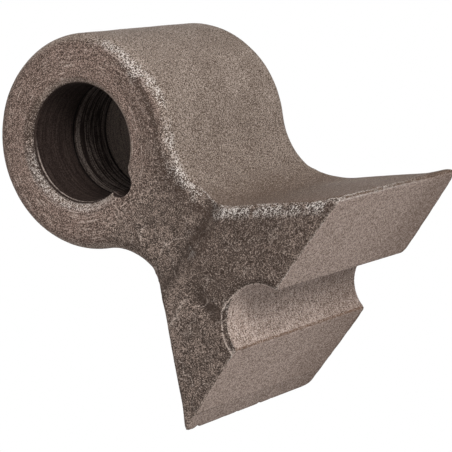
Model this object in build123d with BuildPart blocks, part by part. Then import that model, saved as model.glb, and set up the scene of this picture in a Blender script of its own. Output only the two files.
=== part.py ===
"""Swinging hammer of a flail shredder: one steel forging.

The eye turns on the rotor's pin. Below it a waisted neck spreads into a foot whose two
lobes are the striking edges, parted by a half-round groove. The bore axis is Y, the head
hangs towards -Z, and the origin is on the bore axis at mid-width. Units are millimetres.
"""

import os
from math import cos, radians, sin, sqrt, tan

from build123d import *

# Eye and bore
BORE_D = 25.5
EYE_D = 46.8
EYE_WIDTH = 49.0
MOUTH_CHAMFER = 1.5

# Half-round notch in the bore wall, on the side of the neck
NOTCH_R = 3.3

# Rings left by the boring tool: each is a shallow V all round the bore wall
RING_STARTS = (15.0, 26.8)
RING_DEPTH = 0.35
RING_HALF_WIDTH = 0.5

# Side outline: neck and foot
NECK_WIDTH = 22.2
NECK_R = 15.0
ARM_ANGLE = 47.0
FOOT_DROP = 57.0
FOOT_LENGTH = 64.8

# The foot is wider than the eye by this gain; its end faces are crowned and lean outwards
FOOT_WIDTH_GAIN = 5.7
CROWN_R = 237.0
HEAD_DRAFT = 2.6
STEP_DROP = 34.7
STEP_LENGTH = 3.6
STEP_R = 5.0

# Groove between the lobes
GROOVE_R = 8.2
GROOVE_DEPTH = 7.0
GROOVE_CHAMFER = 1.1

# Rounding of the forging's outer rims
EYE_RIM_R = 4.6
HEAD_RIM_R = 2.3

SPARE = 12.0

bore_r = BORE_D / 2
eye_r = EYE_D / 2
half_eye = EYE_WIDTH / 2
half_foot = half_eye + FOOT_WIDTH_GAIN / 2
arm = radians(ARM_ANGLE)

# The neck's arc touches the eye from outside and is tangent to the arm's straight flank.
neck_x = NECK_WIDTH / 2 + NECK_R
neck_z = -sqrt((eye_r + NECK_R) ** 2 - neck_x**2)
eye_share = eye_r / (eye_r + NECK_R)
eye_touch = (neck_x * eye_share, neck_z * eye_share)
waist = (NECK_WIDTH / 2, neck_z)
arm_start = (neck_x - NECK_R * sin(arm), neck_z - NECK_R * cos(arm))
tip = (arm_start[0] + (arm_start[1] + FOOT_DROP) / tan(arm), -FOOT_DROP)

# The forging is modelled past the foot and cut off flat there.
below = FOOT_DROP + SPARE
flank_end = (tip[0] + SPARE / tan(arm), -below)
lean = tan(radians(HEAD_DRAFT))
half_below = half_foot + SPARE * lean
reach = flank_end[0] + SPARE

# The step's slope is carried inwards until it is buried in the neck.
step_end = -STEP_DROP - STEP_LENGTH
half_step = half_foot - (FOOT_DROP + step_end) * lean
slope = STEP_LENGTH / (half_step - half_eye)
buried = (half_eye - EYE_RIM_R, -STEP_DROP + slope * EYE_RIM_R)

with BuildSketch(Plane.XZ) as outline:
    with BuildLine():
        ThreePointArc((0, eye_r), (eye_r, 0), eye_touch)
        ThreePointArc(eye_touch, waist, arm_start)
        Line(arm_start, flank_end)
        Line(flank_end, (0, -below))
        mirror(about=Plane.YZ)
    make_face()

with BuildPart() as head:
    # A crowned block that narrows upwards, cut to the side outline
    for level in (-below, eye_r):
        half_width = half_foot - (FOOT_DROP + level) * lean
        corner = half_width - CROWN_R + sqrt(CROWN_R**2 - reach**2)
        with BuildSketch(Plane.XY.offset(level)):
            with BuildLine():
                ThreePointArc((-reach, corner), (0, half_width), (reach, corner))
                Line((reach, corner), (reach, -corner))
                ThreePointArc((reach, -corner), (0, -half_width), (-reach, -corner))
                Line((-reach, -corner), (-reach, corner))
            make_face()
    loft(ruled=True)
    extrude(outline.sketch, amount=half_foot + SPARE, both=True, mode=Mode.INTERSECT)
    crowns = head.faces().filter_by(lambda face: abs(face.normal_at().Y) > 0.9)
    rims = crowns.edges().filter_by(lambda edge: edge.center().Z > -FOOT_DROP)
    fillet(rims, HEAD_RIM_R)
    with BuildSketch(Plane.YZ) as section:
        with BuildLine():
            Polyline((0, buried[1]), buried, (half_step, step_end), (half_below, -below), (0, -below))
            mirror(about=Plane.YZ)
        make_face()
        fillet(section.vertices().filter_by_position(Axis.Y, step_end - 0.1, step_end + 0.1), STEP_R)
    extrude(amount=reach, both=True, mode=Mode.INTERSECT)

with BuildPart() as hammer:
    extrude(outline.sketch, amount=half_eye, both=True)
    ends = hammer.faces().filter_by(Axis.Y)
    fillet(ends.edges().filter_by(lambda edge: edge.center().Z > -FOOT_DROP), EYE_RIM_R)
    add(head.part)

    # Groove across the foot, its end rims broken
    groove_z = -FOOT_DROP - GROOVE_R + GROOVE_DEPTH
    with BuildSketch(Plane.XZ):
        with Locations((0, groove_z)):
            Circle(GROOVE_R)
    extrude(amount=half_foot + SPARE, both=True, mode=Mode.SUBTRACT)
    groove = hammer.faces().filter_by(GeomType.CYLINDER).filter_by(
        lambda face: abs(face.radius - GROOVE_R) < 0.01
    )
    groove_rims = groove.edges().filter_by(lambda edge: abs(edge.center().Y) > half_eye)
    chamfer(groove_rims, GROOVE_CHAMFER)

    split(bisect_by=Plane.XY.offset(-FOOT_DROP), keep=Keep.TOP)

    # Striking tips, slightly blunt
    with BuildSketch(Plane.XY):
        Rectangle(FOOT_LENGTH, 2 * half_foot)
    extrude(amount=below, both=True, mode=Mode.INTERSECT)

    # Bore with chamfered mouths
    with BuildSketch(Plane.XZ):
        Circle(bore_r)
    extrude(amount=half_eye, both=True, mode=Mode.SUBTRACT)
    bore = hammer.faces().filter_by(GeomType.CYLINDER).filter_by(
        lambda face: abs(face.radius - bore_r) < 0.01
    )
    mouths = bore.edges().filter_by(GeomType.CIRCLE)
    chamfer(mouths, MOUTH_CHAMFER)

    # Notch along the bore wall
    with BuildSketch(Plane.XZ):
        with Locations((0, -bore_r)):
            Circle(NOTCH_R)
    extrude(amount=half_eye, both=True, mode=Mode.SUBTRACT)

    # Tool rings
    with BuildSketch(Plane.YZ):
        for start in RING_STARTS:
            with Locations((start - half_eye, bore_r)):
                Polygon(
                    (-RING_HALF_WIDTH, -RING_DEPTH),
                    (RING_HALF_WIDTH, -RING_DEPTH),
                    (RING_HALF_WIDTH, 0),
                    (0, RING_DEPTH),
                    (-RING_HALF_WIDTH, 0),
                    align=None,
                )
    revolve(axis=Axis.Y, mode=Mode.SUBTRACT)

hammer.part.label = "shredder_hammer"
os.makedirs("parts", exist_ok=True)
export_step(hammer.part, "parts/shredder_hammer.step")
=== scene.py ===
"""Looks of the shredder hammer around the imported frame: forged steel on a plain white ground."""

from math import cos, radians, sin

import bmesh
import bpy
import numpy as np
from mathutils import Matrix, Vector


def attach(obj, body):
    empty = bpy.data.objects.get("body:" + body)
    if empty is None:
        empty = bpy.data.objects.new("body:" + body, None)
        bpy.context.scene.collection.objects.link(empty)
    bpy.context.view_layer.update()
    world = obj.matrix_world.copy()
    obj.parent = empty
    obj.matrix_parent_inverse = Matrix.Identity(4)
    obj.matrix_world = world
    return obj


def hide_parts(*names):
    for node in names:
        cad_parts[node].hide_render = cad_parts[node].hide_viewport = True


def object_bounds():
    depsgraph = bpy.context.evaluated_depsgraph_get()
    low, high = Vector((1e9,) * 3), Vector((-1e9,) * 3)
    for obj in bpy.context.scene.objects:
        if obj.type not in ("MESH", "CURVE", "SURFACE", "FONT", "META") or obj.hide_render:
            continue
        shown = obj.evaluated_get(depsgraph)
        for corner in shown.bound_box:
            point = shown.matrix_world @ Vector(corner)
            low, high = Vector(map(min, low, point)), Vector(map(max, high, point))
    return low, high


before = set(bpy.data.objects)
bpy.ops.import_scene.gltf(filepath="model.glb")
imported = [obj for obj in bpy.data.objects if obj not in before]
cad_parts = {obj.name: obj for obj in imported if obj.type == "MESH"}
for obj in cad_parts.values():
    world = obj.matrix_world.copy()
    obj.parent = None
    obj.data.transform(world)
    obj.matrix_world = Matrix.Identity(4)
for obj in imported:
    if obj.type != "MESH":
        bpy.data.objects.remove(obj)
cad_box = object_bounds()

NODE = "shredder_hammer"

# Fineness of the visible mesh
VOXEL = 0.00040
MOST_TRIANGLES = 200000

# Sizes of the forging that the finish follows, in millimetres
BORE_R = 12.75
EYE_HALF_WIDTH = 24.5
NOTCH_R = 3.3
RING_STARTS = (-9.5, 2.3)
STEP_TOP = -34.7
STEP_FOOT = -38.3
FOOT_Z = -57.0
FOOT_HALF_LENGTH = 32.4
FLANK_ANGLE = radians(47.0)
GROOVE_R = 8.2
GROOVE_Z = -58.2

# Finishes: base colours are linear
SKIN = (0.290, 0.237, 0.201)
SKIN_DARK = (0.082, 0.057, 0.042)
FACE = (0.190, 0.134, 0.111)
FACE_DARK = (0.040, 0.027, 0.021)
SCALE_DARK = (0.022, 0.016, 0.013)
SCALE_LIGHT = (0.228, 0.172, 0.142)
CUT = (0.430, 0.342, 0.296)
CUT_DARK = (0.165, 0.117, 0.093)
# Bore colour: partly the bore's own dark finish, partly painted shade inside the hole
BORED_DARK_AND_SHADED = (0.016, 0.0105, 0.009)
BORED_LIGHT = (0.044, 0.031, 0.026)
BORED_FAR = (0.190, 0.156, 0.135)
# Pale colour for real wear and for painted highlights
WORN_AND_SHEEN = (0.560, 0.520, 0.485)
SALT = (0.450, 0.372, 0.322)
BROWN = (0.085, 0.052, 0.035)
RUST = (0.100, 0.050, 0.028)


class Signal:
    """A shader socket. Python's operators on it add Math nodes."""

    def __init__(self, finish, socket):
        self.finish = finish
        self.socket = socket

    def math(self, operation, *values):
        sockets = dict(enumerate(values))
        return self.finish.node("ShaderNodeMath", {"operation": operation}, sockets)

    def __add__(self, other):
        return self.math("ADD", self, other)

    __radd__ = __add__

    def __sub__(self, other):
        return self.math("SUBTRACT", self, other)

    def __rsub__(self, other):
        return self.math("SUBTRACT", other, self)

    def __mul__(self, other):
        return self.math("MULTIPLY", self, other)

    __rmul__ = __mul__

    def __truediv__(self, other):
        return self.math("DIVIDE", self, other)

    def __abs__(self):
        return self.math("ABSOLUTE", self)

    def root(self):
        return self.math("SQRT", self)

    def least(self, other):
        return self.math("MINIMUM", self, other)

    def most(self, other):
        return self.math("MAXIMUM", self, other)

    def rise(self, low, high):
        """0 below low, 1 above high, smooth between. With low above high it falls instead."""
        sockets = {"Value": self, "From Min": low, "From Max": high}
        return self.finish.node("ShaderNodeMapRange", {"interpolation_type": "SMOOTHSTEP"}, sockets)

    def near(self, centre, half_width):
        """1 at centre, falling to 0 at half_width from it."""
        return abs(self - centre).rise(half_width, 0.0)


class Finish:
    """A material built from nodes by one method."""

    def __init__(self, name):
        self.material = bpy.data.materials.new(name)
        self.material.use_nodes = True
        self.tree = self.material.node_tree
        self.shader = self.tree.nodes["Principled BSDF"]

    def node(self, kind, settings=None, sockets=None, output=0):
        """Adds a node: its settings first, then a value or a link for each socket."""
        made = self.tree.nodes.new(kind)
        for name, value in (settings or {}).items():
            setattr(made, name, value)
        for name, value in (sockets or {}).items():
            self.put(made.inputs[name], value)
        return Signal(self, made.outputs[output])

    def put(self, socket, value):
        if isinstance(value, Signal):
            self.tree.links.new(value.socket, socket)
        elif hasattr(socket.default_value, "__len__") and len(value) == 3 and len(socket.default_value) == 4:
            socket.default_value = (*value, 1.0)
        else:
            socket.default_value = value

    def blend(self, mask, under, over):
        """Colour under where mask is 0 and colour over where it is 1."""
        return self.node("ShaderNodeMix", {"data_type": "RGBA"}, {0: mask, 6: under, 7: over}, 2)

    def grain(self, place, size, detail=2.0, roughness=0.5, lacunarity=2.0):
        """Noise about 0.5 with lumps of about size millimetres."""
        sockets = {
            "Vector": place,
            "Scale": 1.0 / size,
            "Detail": detail,
            "Roughness": roughness,
            "Lacunarity": lacunarity,
        }
        return self.node("ShaderNodeTexNoise", {}, sockets)

    def shade(self, **sockets):
        for name, value in sockets.items():
            self.put(self.shader.inputs[name.replace("_", " ")], value)


def forged_steel():
    """The whole hammer's finish, each region told apart by its place in millimetres."""
    steel = Finish("forged steel")
    node = steel.node
    coordinates = node("ShaderNodeTexCoord", {}, {}, 3)
    place = node("ShaderNodeVectorMath", {"operation": "SCALE"}, {0: coordinates, "Scale": 1000.0})
    x, y, z = (node("ShaderNodeSeparateXYZ", {}, {0: place}, i) for i in range(3))
    turned = node("ShaderNodeTexCoord", {}, {}, 1)
    facing_y = abs(node("ShaderNodeSeparateXYZ", {}, {0: turned}, 1))
    facing_down = -1.0 * node("ShaderNodeSeparateXYZ", {}, {0: turned}, 2)
    from_bore = (x * x + z * z).root()
    from_groove = (x * x + (z - GROOVE_Z) * (z - GROOVE_Z)).root()
    from_notch = (x * x + (z + BORE_R) * (z + BORE_R)).root()
    below_flank = (FOOT_HALF_LENGTH - x) * sin(FLANK_ANGLE) - (z - FOOT_Z) * cos(FLANK_ANGLE)

    # Grain at several sizes
    grit = steel.grain(place, 0.24, 1.0, 0.6)
    fine = steel.grain(place, 0.42, 2.0, 0.7)
    coarse = steel.grain(place, 0.85, 4.0, 0.8)
    lumps = steel.grain(place, 3.5, 3.0, 0.6)
    clouds = steel.grain(place, 9.0, 2.0, 0.5)
    speck = grit * 0.6 + fine * 0.25 + coarse * 0.15
    crumb = grit * 0.45 + fine * 0.2 + coarse * 0.35
    salt_and_glints = grit.rise(0.56, 0.70)
    pepper = grit.rise(0.44, 0.30)

    # Regions
    end_face = facing_y.rise(0.55, 0.88)
    bored = from_bore.rise(BORE_R + 0.35, BORE_R + 0.20).most(from_notch.rise(NOTCH_R + 0.3, NOTCH_R + 0.1))
    outside = 1.0 - bored
    mouth = from_bore.rise(BORE_R + 1.9, BORE_R + 1.4) * outside
    foot = facing_down.rise(0.85, 0.97) * z.rise(FOOT_Z + 0.5, FOOT_Z + 0.3)
    groove = from_groove.rise(GROOVE_R + 0.25, GROOVE_R + 0.15)
    groove_rim = from_groove.rise(GROOVE_R + 1.35, GROOVE_R + 1.1) * (1.0 - groove) * facing_y.rise(0.1, 0.3)
    rim_middle = 0.56 + (clouds - 0.5) * 0.8 + (lumps - 0.5) * 0.3
    rim = facing_y.near(rim_middle, 0.32) * from_bore.rise(16.0, 17.0)
    inner_rim = facing_y.near(0.93, 0.14) * from_bore.rise(16.0, 17.0)
    edge = node("ShaderNodeAttribute", {"attribute_name": "edge"}, {}, 2)
    crest = edge.rise(0.15, 1.0)
    crevice = edge.rise(-0.15, -1.0)

    # Skin of the eye, neck and arms: shot-blasted, warm and even
    skin = steel.blend(speck.rise(0.41, 0.59), SKIN_DARK, SKIN)
    skin = steel.blend(clouds.rise(0.62, 0.38) * 0.25, skin, SKIN_DARK)
    skin = steel.blend(z.rise(-12.0, -32.0) * 0.30, skin, SKIN_DARK)
    skin = steel.blend(z.rise(-26.0, -36.0) * (0.50 + 0.25 * x.rise(16.0, 28.0)), skin, BROWN)
    seam = (y + 0.8 - (6.0 - z) * 0.52).near(0.0, 0.4) * z.near(0.5, 6.0) * x.rise(10.0, 15.0)
    skin = steel.blend(seam * crumb.rise(0.44, 0.54) * 0.5, skin, SALT)

    # End faces: reddish on the eye, coarse scale on neck and head
    circling = node("ShaderNodeCombineXYZ", {}, {0: from_bore, 1: x * 0.06, 2: z * 0.06})
    scratches = steel.grain(circling, 0.30, 2.0, 0.6)
    ring_tone = steel.blend((speck * 0.85 + scratches * 0.15).rise(0.42, 0.58), FACE_DARK, FACE)
    arcs = scratches.rise(0.57, 0.64) * (lumps + 0.10 * z.rise(-4.0, -12.0)).rise(0.45, 0.62)
    ring_tone = steel.blend(arcs * 0.55, ring_tone, SALT)
    scale = steel.blend(crumb.rise(0.41, 0.62), SCALE_DARK, SCALE_LIGHT)
    scale = steel.blend(lumps.rise(0.42, 0.66) * 0.45, scale, SCALE_DARK)
    to_scale = (z + (clouds - 0.5) * 10.0 + (lumps - 0.5) * 16.0).rise(-10.0, -24.0)
    ends = steel.blend(to_scale, ring_tone, scale)
    # Painted shade on the slope of the step, and a painted highlight on the crest below it
    shaded_valley = (z + (lumps - 0.5) * 3.0).near(STEP_TOP - 0.2, 2.4)
    ends = steel.blend(shaded_valley * 0.6, ends, SCALE_DARK)
    lit_shoulder = (z + (lumps - 0.5) * 2.0).near(STEP_FOOT, 1.1) * crumb.rise(0.42, 0.54)
    ends = steel.blend(lit_shoulder * 0.5, ends, SCALE_LIGHT)
    fold = (x + 5.3 + (lumps - 0.5) * 3.0).near(0.0, 2.0) * z.near(-46.0, 7.0)
    plate = (z + 41.2 + (lumps - 0.5) * 3.0).near(0.0, 0.7) * x.rise(-6.5, -8.5)
    front = y.rise(0.0, -5.0)
    ends = steel.blend(fold * front * 0.9, ends, SCALE_DARK)
    ends = steel.blend(plate * front * crumb.rise(0.42, 0.54) * 0.4, ends, SALT)
    wrinkles = steel.grain(place, 7.0, 2.0, 0.45)
    creased = to_scale * clouds.rise(0.42, 0.56)
    ends = steel.blend(creased * wrinkles.near(0.478, 0.020) * 0.5, ends, SCALE_DARK)
    ends = steel.blend(creased * wrinkles.near(0.502, 0.016) * crumb.rise(0.42, 0.54) * 0.5, ends, SALT)
    colour = steel.blend(end_face, skin, ends)
    colour = steel.blend(crevice * 0.7, colour, SCALE_DARK)

    # Rims: on the lit side, and along the arm's front top edge, a bright speckled band, partly real wear and
    # partly painted highlight, with a painted shade strip inside it and a painted shade patch on the end face
    # below the bore
    lit_side = (x - 0.5 * z + (lumps - 0.5) * 8.0).rise(14.0, 19.5)
    margin = end_face * z.rise(-34.0, -38.0) * below_flank.rise(3.4, 1.0) * lumps.rise(0.36, 0.52)
    struck_and_lit_rim = rim.most(margin * 0.9) * lit_side
    dark_patch = (x - 9.5).near(0.0, 5.5) * (z + 22.5).near(0.0, 9.0) * end_face
    dark_strip = inner_rim * lit_side * (0.50 + 0.45 * z.rise(4.0, -10.0))
    shade = dark_strip.most(dark_patch) * coarse.rise(0.70, 0.54)
    colour = steel.blend(shade, colour, FACE_DARK)
    colour = steel.blend(struck_and_lit_rim * crumb.rise(0.50, 0.40) * 0.8, colour, FACE_DARK)
    # Pale specks on the band: partly wear, partly painted highlight
    worn_and_highlight = struck_and_lit_rim * crumb.rise(0.48, 0.56) * lumps.rise(0.32, 0.54) * 0.85
    colour = steel.blend(worn_and_highlight, colour, WORN_AND_SHEEN)

    # Cut foot and groove
    cut = steel.blend(speck.rise(0.40, 0.59), CUT_DARK, CUT)
    along = node("ShaderNodeMapping", {}, {"Vector": place, "Scale": (1.0, 0.15, 1.0)})
    brushing = steel.grain(along, 0.5, 3.0, 0.6)
    cut = steel.blend(brushing.rise(0.46, 0.36) * 0.35, cut, CUT_DARK)
    rusting = (y + (clouds - 0.5) * 20.0).rise(-4.0, 27.0) * 0.42
    cut = steel.blend(rusting.most((y + (lumps - 0.5) * 4.0).rise(22.5, 26.5) * 0.7), cut, BROWN)
    scored = (x + 26.3 - y * 0.02).near(0.0, 0.3) * y.rise(-14.0, -18.0)
    cut = steel.blend(scored * 0.55, cut, FACE_DARK)
    cut = steel.blend(x.rise(-26.0, -27.0) * 0.18, cut, FACE_DARK)
    colour = steel.blend(foot, colour, cut)
    stretched = node("ShaderNodeMapping", {}, {"Vector": place, "Scale": (0.35, 1.0, 0.35)})
    streaks = steel.grain(stretched, 0.5, 3.0, 0.65)
    trough = steel.blend((streaks * 0.3 + speck * 0.7).rise(0.42, 0.58), CUT_DARK, CUT)
    trough = steel.blend((grit * 0.75 + streaks * 0.25).rise(0.56, 0.64) * 0.7, trough, WORN_AND_SHEEN)
    trough = steel.blend((grit * 0.75 + streaks * 0.25).rise(0.45, 0.37) * 0.5, trough, FACE_DARK)
    trough = steel.blend(y.rise(0.0, 26.0) * 0.30, trough, BROWN)
    colour = steel.blend(groove, colour, trough)
    colour = steel.blend(groove_rim * crumb.rise(0.60, 0.46) * 0.45, colour, SCALE_DARK)
    lower = x.rise(2.0, -5.0)
    lip_line = (from_groove - 1.05 * lower).near(GROOVE_R + 0.20, 0.28) * end_face.most(groove_rim)
    colour = steel.blend(lip_line * crumb.rise(0.40, 0.52) * 0.65, colour, SALT)
    inner_line = from_groove.near(GROOVE_R + 0.25, 0.3) * lower * (1.0 - y.rise(-24.0, -20.0))
    colour = steel.blend(inner_line * 0.6, colour, SCALE_DARK)
    rust_line = (z - FOOT_Z).near(0.25, 0.45) * from_groove.rise(GROOVE_R + 0.6, GROOVE_R + 0.2) * (1.0 - end_face)
    colour = steel.blend(rust_line * x.rise(0.0, -2.0) * fine.rise(0.36, 0.50) * 0.9, colour, RUST)

    # Bore: dark, partly its own finish and partly painted shade, with the tool's rings, painted shadow in the
    # grooves at both ends of the ringed stretch, and a lighter stretch past the last of them
    turning = node("ShaderNodeMapping", {}, {"Vector": place, "Scale": (0.05, 1.0, 0.05)})
    lines = steel.grain(turning, 0.55, 3.0, 0.7)
    shadowed_rings = y.near(RING_STARTS[0], 0.55).most(y.near(RING_STARTS[1], 0.5))
    turned_wall = y.rise(RING_STARTS[0], RING_STARTS[0] + 0.5)
    far = y.rise(RING_STARTS[1] + 0.1, RING_STARTS[1] + 0.5)
    band = y.near(RING_STARTS[0] + 1.1, 0.6)
    wall = steel.blend((speck * 0.6 + lines * 0.4).rise(0.46, 0.58), BORED_DARK_AND_SHADED, BORED_LIGHT)
    wall = steel.blend(turned_wall * lines.rise(0.46, 0.56) * speck.rise(0.38, 0.54) * 0.7, wall, BORED_FAR)
    wall = steel.blend(turned_wall * lines.rise(0.44, 0.36) * 0.8, wall, BORED_DARK_AND_SHADED)
    wall = steel.blend(band * speck.rise(0.34, 0.56) * 0.6, wall, BORED_FAR)
    wall = steel.blend(far * lines.rise(0.30, 0.46) * 0.6, wall, BORED_FAR)
    wall = steel.blend(far * speck.rise(0.46, 0.58) * 0.7, wall, SKIN)
    # Painted shadow in the grooves at both ends of the ringed stretch
    wall = steel.blend(shadowed_rings, wall, (0.0015, 0.001, 0.001))
    colour = steel.blend(bored, colour, wall)

    # Mouth: brown; the top of it dark, partly dark scale and partly painted shade; on the side away from the
    # bright rim band it is speckled bright, partly scuffs and partly painted highlight; a dark line inside
    away = (x * -0.97 - z * 0.23) / from_bore
    above = (z * 0.95 - x * 0.32) / from_bore
    blackened_and_shaded = from_bore.rise(BORE_R + 2.7, BORE_R + 1.7) * outside * above.rise(0.20, 0.7) * x.rise(3.0, -3.0)
    colour = steel.blend(blackened_and_shaded * crumb.rise(0.66, 0.46) * 0.95, colour, FACE_DARK)
    scuffed_and_lit = from_bore.rise(BORE_R + 2.9, BORE_R + 1.0) * outside * away.rise(0.30, 0.85)
    colour = steel.blend(scuffed_and_lit * crumb.rise(0.46, 0.60) * 0.55, colour, WORN_AND_SHEEN)
    lip = from_bore.near(BORE_R + 0.35, 0.25) * (1.0 - from_notch.rise(NOTCH_R + 1.0, NOTCH_R + 0.4))
    colour = steel.blend(lip * 0.6, colour, BORED_DARK_AND_SHADED)
    bright_lip = y.near(1.9 - EYE_HALF_WIDTH, 0.35) * bored * away.rise(0.30, 0.8)
    colour = steel.blend(bright_lip * fine.rise(0.36, 0.5) * 0.7, colour, SALT)
    mottled = facing_y.near(0.8, 0.35) * (1.0 - lit_side) * crumb.rise(0.56, 0.44) * lumps.rise(0.36, 0.56)
    colour = steel.blend(mottled * 0.7 * from_bore.rise(16.0, 17.0), colour, FACE_DARK)
    colour = steel.blend(pepper * outside * (0.75 - 0.15 * end_face - 0.35 * foot), colour, SCALE_DARK)
    creased_dark = (fold * front).most(shaded_valley * 0.6) * end_face
    # Bright specks all over, partly the scale's own grit and partly painted glints
    colour = steel.blend(salt_and_glints * outside * (0.60 - 0.22 * end_face) * (1.0 - creased_dark), colour, SALT)
    beyond = x - FOOT_HALF_LENGTH
    from_tip = (beyond * beyond + (z - FOOT_Z) * (z - FOOT_Z)).root()
    tip_line = (from_tip + (lumps - 0.5) * 1.2).near(0.6, 0.4) * y.rise(16.0, -6.0)
    colour = steel.blend(tip_line * crumb.rise(0.44, 0.56) * 0.6, colour, WORN_AND_SHEEN)
    colour = steel.blend(crest * outside * (1.0 - mouth) * crumb.rise(0.42, 0.56) * 0.25, colour, SALT)

    coarse_height = (coarse - 0.5) * (0.05 + 0.20 * end_face * to_scale + 0.15 * rim)
    height = (fine - 0.5) * 0.07 + (grit - 0.5) * 0.09 + coarse_height + (clouds - 0.5) * 0.10
    bump = node("ShaderNodeBump", {}, {"Strength": 1.0, "Distance": 0.001, "Height": height})
    roughness = 0.92 - 0.14 * fine - 0.32 * struck_and_lit_rim
    metallic = 0.05 + 0.40 * struck_and_lit_rim
    steel.shade(Base_Color=colour, Roughness=roughness, Metallic=metallic, Normal=bump)
    steel.shade(Specular_IOR_Level=0.04)
    return steel.material


def lattice(points, size, seed):
    """Smooth noise from -1 to 1 with lumps of about size: random values on the corners of a
    grid of cubes, and between them a smoothed trilinear mean of a cube's eight corners."""
    corners = np.random.default_rng(seed).uniform(-1.0, 1.0, (32, 32, 32))
    scaled = points / size + 500.0
    cell = np.floor(scaled).astype(int)
    part = scaled - cell
    part = part * part * (3.0 - 2.0 * part)
    total = np.zeros(len(points))
    for corner in np.ndindex(2, 2, 2):
        weight = np.where(corner, part, 1.0 - part).prod(axis=1)
        i, j, k = ((cell + corner) % 32).T
        total += weight * corners[i, j, k]
    return total


def ramp(values, low, high):
    """0 below low, 1 above high and smooth between, for arrays. Low above high falls instead."""
    part = np.clip((values - low) / (high - low), 0.0, 1.0)
    return part * part * (3.0 - 2.0 * part)


class Skin:
    """A fine mesh as arrays in millimetres: its points, edges and normals."""

    def __init__(self, mesh):
        self.mesh = mesh
        self.points = self.read(mesh.vertices, "co", 3).reshape(-1, 3) * 1000.0
        edges = self.read(mesh.edges, "vertices", 2).astype(int).reshape(-1, 2)
        self.ends = np.concatenate([edges[:, 0], edges[:, 1]])
        self.others = np.concatenate([edges[:, 1], edges[:, 0]])
        self.counts = np.bincount(self.ends, minlength=len(self.points))

    def read(self, items, name, width):
        values = np.empty(len(items) * width, dtype=np.int32 if name == "vertices" else np.float32)
        items.foreach_get(name, values)
        return values.astype(float)

    def around(self, values):
        """The mean of each point's neighbours along its edges."""
        columns = values.reshape(len(self.points), -1).T
        sums = [np.bincount(self.ends, column[self.others], len(self.points)) for column in columns]
        return (np.array(sums) / self.counts).T.reshape(values.shape)

    def soften(self, weight, steps):
        """Moves each point half way to its neighbours' mean, as far as its weight allows."""
        for _ in range(steps):
            self.points += 0.5 * weight[:, None] * (self.around(self.points) - self.points)

    def bulge(self):
        """How far each point stands out from its neighbours, evened out a little."""
        height = ((self.points - self.around(self.points)) * self.normals()).sum(axis=1)
        return self.around(self.around(height))

    def store(self):
        self.mesh.vertices.foreach_set("co", (self.points / 1000.0).ravel())
        self.mesh.update()

    def normals(self):
        self.store()
        return self.read(self.mesh.vertices, "normal", 3).reshape(-1, 3)


def fine_copy(node):
    """The node's mesh, joined and rebuilt as even small squares by a voxel remesh."""
    piece = node.copy()
    piece.data = node.data.copy()
    piece.name = "hammer"
    bpy.context.scene.collection.objects.link(piece)
    joined = bmesh.new()
    joined.from_mesh(piece.data)
    bmesh.ops.remove_doubles(joined, verts=joined.verts, dist=2e-6)
    joined.to_mesh(piece.data)
    joined.free()
    remesh = piece.modifiers.new("even", "REMESH")
    remesh.mode = "VOXEL"
    remesh.voxel_size = VOXEL
    settle(piece)
    return piece


def settle(piece):
    """Applies the piece's modifiers to its mesh."""
    graph = bpy.context.evaluated_depsgraph_get()
    shaped = bpy.data.meshes.new_from_object(piece.evaluated_get(graph))
    piece.modifiers.clear()
    piece.data = shaped


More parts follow.
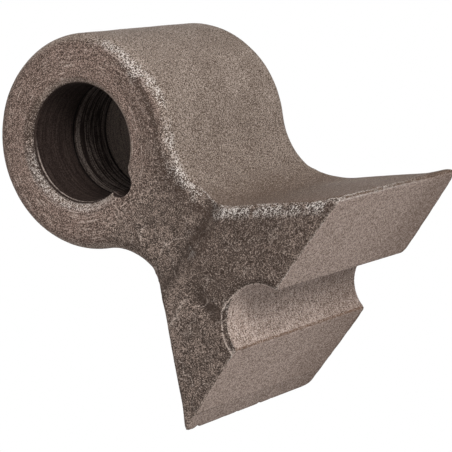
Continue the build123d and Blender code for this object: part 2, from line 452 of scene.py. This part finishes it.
def forge(piece):
    """Soft and uneven forms that the forging has: blunt tips, a softer step, lumps, plates of
    scale and nicks. The edge attribute is 1 on sharp ridges and -1 in sharp valleys."""
    skin = Skin(piece.data)
    x, y, z = skin.points.T
    at_step = ramp(np.abs(z - STEP_TOP + 1.5), 6.0, 2.5) * ramp(np.abs(y), 18.0, 21.0)
    at_tip = ramp(np.abs(x), FOOT_HALF_LENGTH - 1.8, FOOT_HALF_LENGTH - 0.2) * ramp(z, -54.0, -55.5)
    outside = ramp(np.hypot(x, z), 14.4, 15.2)
    skin.soften(at_tip, 44)
    reach = FOOT_HALF_LENGTH / np.abs(skin.points[:, 0]).max() - 1.0
    skin.points[:, 0] *= 1.0 + reach * ramp(np.abs(x), FOOT_HALF_LENGTH - 5.0, FOOT_HALF_LENGTH - 1.0)
    skin.soften(0.5 * at_step, 24)
    skin.soften(0.6 * outside, 2)

    x, y, z = skin.points.T
    normals = skin.normals()
    tips = ramp(np.abs(x), FOOT_HALF_LENGTH - 1.6, FOOT_HALF_LENGTH - 0.6)
    sharp = np.maximum(ramp(skin.bulge(), 0.02, 0.06), tips * ramp(z, -55.0, -56.0)) * outside
    end_face = ramp(np.abs(normals[:, 1]), 0.5, 0.9)
    on_scale = end_face * ramp(z + 4.0 * lattice(skin.points, 7.0, 1), -14.0, -22.0)
    machined = np.maximum(ramp(np.hypot(x, z), 14.9, 14.3), ramp(z, -56.4, -56.8))
    machined = np.maximum(machined, ramp(np.hypot(x, z - GROOVE_Z), GROOVE_R + 0.6, GROOVE_R + 0.3))
    forged = 1.0 - machined
    lumps = 0.5 + 0.5 * lattice(skin.points, 5.5, 2)
    crumbs = 0.5 + 0.5 * lattice(skin.points, 1.15, 3)
    pits = ramp(lattice(skin.points, 2.1, 4), 0.25, 0.8)
    warped = skin.points + 1.6 * np.stack([lattice(skin.points, 2.6, seed) for seed in (5, 6, 7)], axis=1)
    plates = ramp(np.abs(lattice(warped, 6.5, 8)), 0.0, 0.10)
    depth = forged * (0.10 * lumps + 0.03 * crumbs)
    depth += on_scale * forged * (0.07 * crumbs + 0.10 * pits + 0.12 * plates)
    nicks = ramp(lattice(skin.points, 1.7, 9), 0.15, 0.75)
    depth += sharp * nicks * (0.14 + 0.30 * np.maximum(ramp(y, 10.0, 22.0), ramp(-x, 31.0, 31.8)))
    beside_fold = np.abs(x + 5.3 + 1.2 * lattice(skin.points, 4.0, 10))
    depth += 0.35 * forged * end_face * ramp(beside_fold, 2.2, 0.4) * ramp(np.abs(z + 46.0), 7.5, 5.0) * (y < 0.0)
    skin.points -= depth[:, None] * normals
    low, high = (np.array(corner) * 1000.0 for corner in cad_box)
    skin.points = np.clip(skin.points, low, high)

    bulge = skin.bulge()
    edge = piece.data.attributes.new("edge", "FLOAT", "POINT")
    edge.data.foreach_set("value", ramp(bulge, 0.008, 0.045) - ramp(-bulge, 0.008, 0.045))
    skin.store()


def dressed_hammer(material):
    """The forging, its own surface made fine enough to carry its unevenness."""
    piece = fine_copy(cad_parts[NODE])
    forge(piece)
    thin = piece.modifiers.new("thin", "DECIMATE")
    thin.ratio = min(1.0, 0.95 * MOST_TRIANGLES / (2.0 * len(piece.data.polygons)))
    settle(piece)
    piece.data.shade_smooth()
    piece.data.materials.clear()
    piece.data.materials.append(material)
    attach(piece, "root")
    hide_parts(NODE)
    return piece


def lamp(name, place, aim, size, power):
    """A soft square lamp that looks at aim."""
    light = bpy.data.lights.new(name, "AREA")
    light.shape = "SQUARE"
    light.size = size
    light.energy = power
    holder = bpy.data.objects.new(name, light)
    holder.location = place
    holder.rotation_euler = (Vector(aim) - Vector(place)).to_track_quat("-Z", "Y").to_euler()
    bpy.context.scene.collection.objects.link(holder)


def white_ground():
    """A world that is plain white to the eye and in reflections, and soft grey as light."""
    world = bpy.data.worlds.new("studio")
    bpy.context.scene.world = world
    world.use_nodes = True
    tree = world.node_tree
    path = tree.nodes.new("ShaderNodeLightPath")
    seen = tree.nodes.new("ShaderNodeMath")
    seen.operation = "MAXIMUM"
    tree.links.new(path.outputs["Is Camera Ray"], seen.inputs[0])
    tree.links.new(path.outputs["Is Transmission Ray"], seen.inputs[1])
    both = tree.nodes.new("ShaderNodeMath")
    both.operation = "MAXIMUM"
    tree.links.new(seen.outputs[0], both.inputs[0])
    tree.links.new(path.outputs["Is Glossy Ray"], both.inputs[1])
    mix = tree.nodes.new("ShaderNodeMix")
    mix.data_type = "RGBA"
    tree.links.new(both.outputs[0], mix.inputs[0])
    mix.inputs[6].default_value = (0.55, 0.55, 0.56, 1.0)
    mix.inputs[7].default_value = (1.0, 1.0, 1.0, 1.0)
    tree.links.new(mix.outputs[2], tree.nodes["Background"].inputs["Color"])


def pale_floor():
    """A floor well below the hammer, which hangs as it does in use."""
    bpy.ops.mesh.primitive_plane_add(size=6.0, location=(0.0, 0.0, -0.9))
    floor = bpy.context.object
    floor.name = "floor"
    paint = bpy.data.materials.new("pale floor")
    paint.use_nodes = True
    tree = paint.node_tree
    shader = tree.nodes["Principled BSDF"]
    shader.inputs["Base Color"].default_value = (0.8, 0.8, 0.8, 1.0)
    shader.inputs["Roughness"].default_value = 0.9
    path = tree.nodes.new("ShaderNodeLightPath")
    share = tree.nodes.new("ShaderNodeMath")
    share.operation = "MULTIPLY"
    tree.links.new(path.outputs["Is Camera Ray"], share.inputs[0])
    share.inputs[1].default_value = 0.8
    glow = tree.nodes.new("ShaderNodeEmission")
    mix = tree.nodes.new("ShaderNodeMixShader")
    tree.links.new(share.outputs[0], mix.inputs[0])
    tree.links.new(shader.outputs[0], mix.inputs[1])
    tree.links.new(glow.outputs[0], mix.inputs[2])
    tree.links.new(mix.outputs[0], tree.nodes["Material Output"].inputs["Surface"])
    floor.data.materials.append(paint)


def camera():
    """The photograph's camera: its place, its three axes and its focal length."""
    lens = bpy.data.cameras.new("camera")
    lens.sensor_width = 36.0
    lens.lens = 1988.0 / 452.0 * 36.0
    lens.clip_start = 0.01
    right = Vector((0.4808, 0.5530, -0.6805))
    down = Vector((-0.7541, -0.1352, -0.6427))
    forward = Vector((-0.4473, 0.8222, 0.3520))
    turn = Matrix((right, -down, -forward)).transposed().to_4x4()
    holder = bpy.data.objects.new("camera", lens)
    holder.matrix_world = Matrix.Translation((0.19151, -0.35782, -0.18196)) @ turn
    bpy.context.scene.collection.objects.link(holder)
    bpy.context.scene.camera = holder


dressed_hammer(forged_steel())
pale_floor()
white_ground()
lamp("key", (0.62, -0.42, -0.22), (0.0, 0.0, -0.015), 0.35, 7.0)
lamp("fill", (-0.35, -0.65, 0.25), (0.0, 0.0, -0.015), 0.5, 3.0)
lamp("back", (-0.3, 0.6, 0.45), (0.0, 0.0, -0.015), 0.6, 5.0)
camera()

bpy.context.scene.view_settings.view_transform = "Standard"
